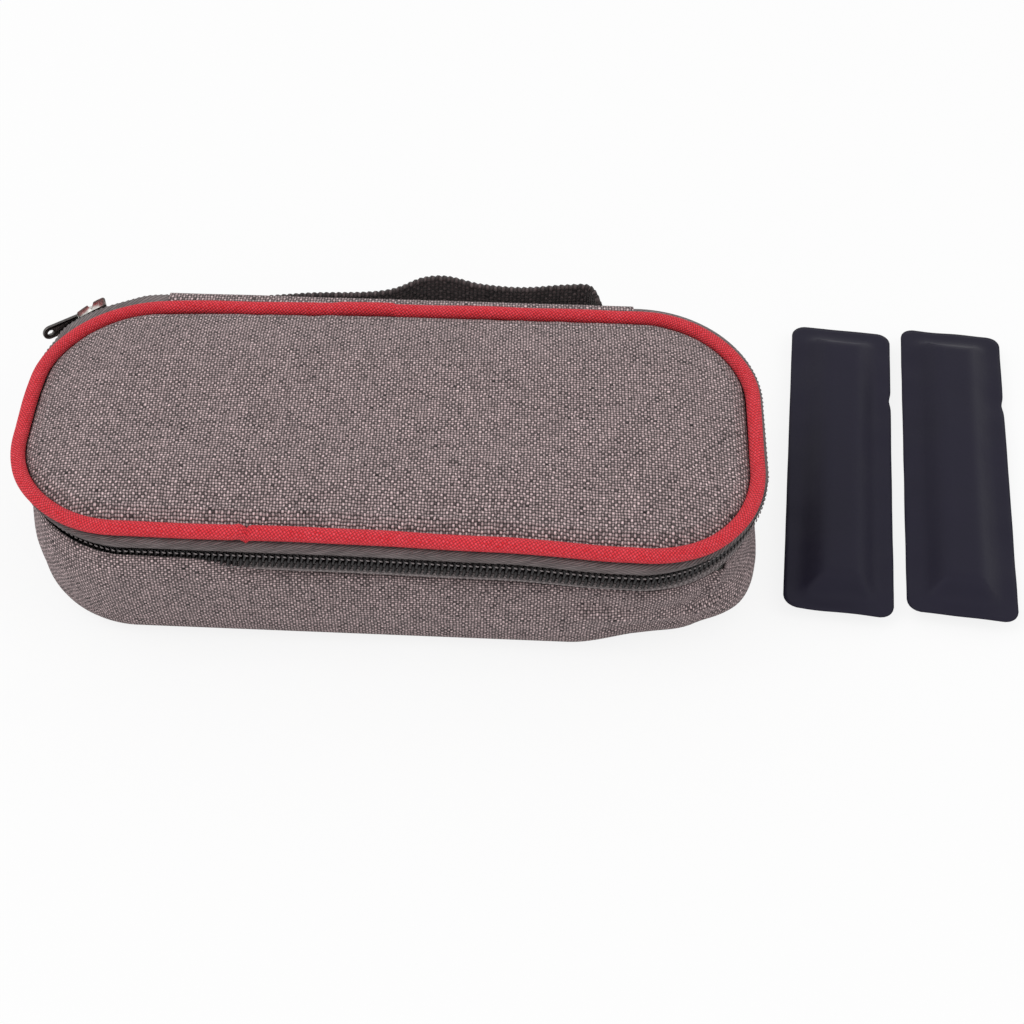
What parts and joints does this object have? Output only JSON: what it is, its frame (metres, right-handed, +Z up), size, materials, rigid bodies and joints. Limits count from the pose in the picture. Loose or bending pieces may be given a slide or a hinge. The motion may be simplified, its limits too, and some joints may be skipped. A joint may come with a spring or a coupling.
{
  "type": "insulin cooling case",
  "caption": "Soft zipped cooling case with a lid that folds back on a cloth hinge, a zipper slider, a webbing handle and two gel packs beside it.",
  "frame": {"origin": "on the ground under the centre of the case, on the flat of its bottom panel", "axes": "+X to the right along the case's length, +Y to the back, where the cloth hinge and the handle are, +Z up"},
  "size_m": [0.2789, 0.126, 0.0482],
  "materials": {
    "grey_cloth": "heathered woven",
    "red_piping": "woven piping",
    "zipper_tape": "twill tape",
    "coil": "satin nylon",
    "black_webbing": "woven webbing",
    "pocket_net": "open net",
    "foam": "closed-cell foam",
    "foil": "metallised film",
    "nickel": "polished nickel",
    "pack_film": "soft satin film",
    "gel": "clear gel"
  },
  "bodies": {
    "case_base": {"bottom_panel": "grey_cloth", "side_wall": "grey_cloth", "base_foam": "foam", "base_lining": "foil", "base_binding": "black_webbing", "pen_strap_left": "black_webbing", "pen_strap_right": "black_webbing", "lower_zipper_tape": "zipper_tape", "lower_coil": "coil", "hinge_cloth_lower": "grey_cloth", "handle_webbing": "black_webbing"},
    "lid": {"lid_piping": "red_piping", "lid_panel": "grey_cloth", "lid_foam": "foam", "lid_lining": "foil", "lid_binding": "black_webbing", "mesh_pocket": "pocket_net", "pocket_hem": "black_webbing", "upper_zipper_tape": "zipper_tape", "upper_coil": "coil", "hinge_cloth_upper": "grey_cloth"},
    "slider": {"slider_body": "nickel"},
    "puller": {"slider_puller": "nickel"},
    "pack_left": {"pack_left_back_film": "pack_film", "pack_left_front_film": "pack_film", "pack_left_gel": "gel"},
    "pack_right": {"pack_right_back_film": "pack_film", "pack_right_front_film": "pack_film", "pack_right_gel": "gel"}
  },
  "joints": [
    {"name": "lid_hinge", "type": "hinge", "parent": "case_base", "child": "lid", "pos_m": [0, 0.0475, 0.0355], "axis": [-1, 0, 0], "range_deg": [0, 105]},
    {"name": "slider_travel", "type": "hinge", "parent": "case_base", "child": "slider", "pos_m": [-0.0655, 0.0115, 0.0355], "axis": [0, 0, 1], "range_deg": [0, 42]},
    {"name": "puller_flip", "type": "hinge", "parent": "slider", "child": "puller", "pos_m": [-0.08781, 0.0422, 0.0355], "axis": [0, 0, -1], "range_deg": [0, 160]},
    {"name": "pack_left_lift", "type": "slide", "parent": "case_base", "child": "pack_left", "axis": [0, 0, 1], "range_m": [0, 0.1]},
    {"name": "pack_right_lift", "type": "slide", "parent": "case_base", "child": "pack_right", "axis": [0, 0, 1], "range_m": [0, 0.1]}
  ]
}
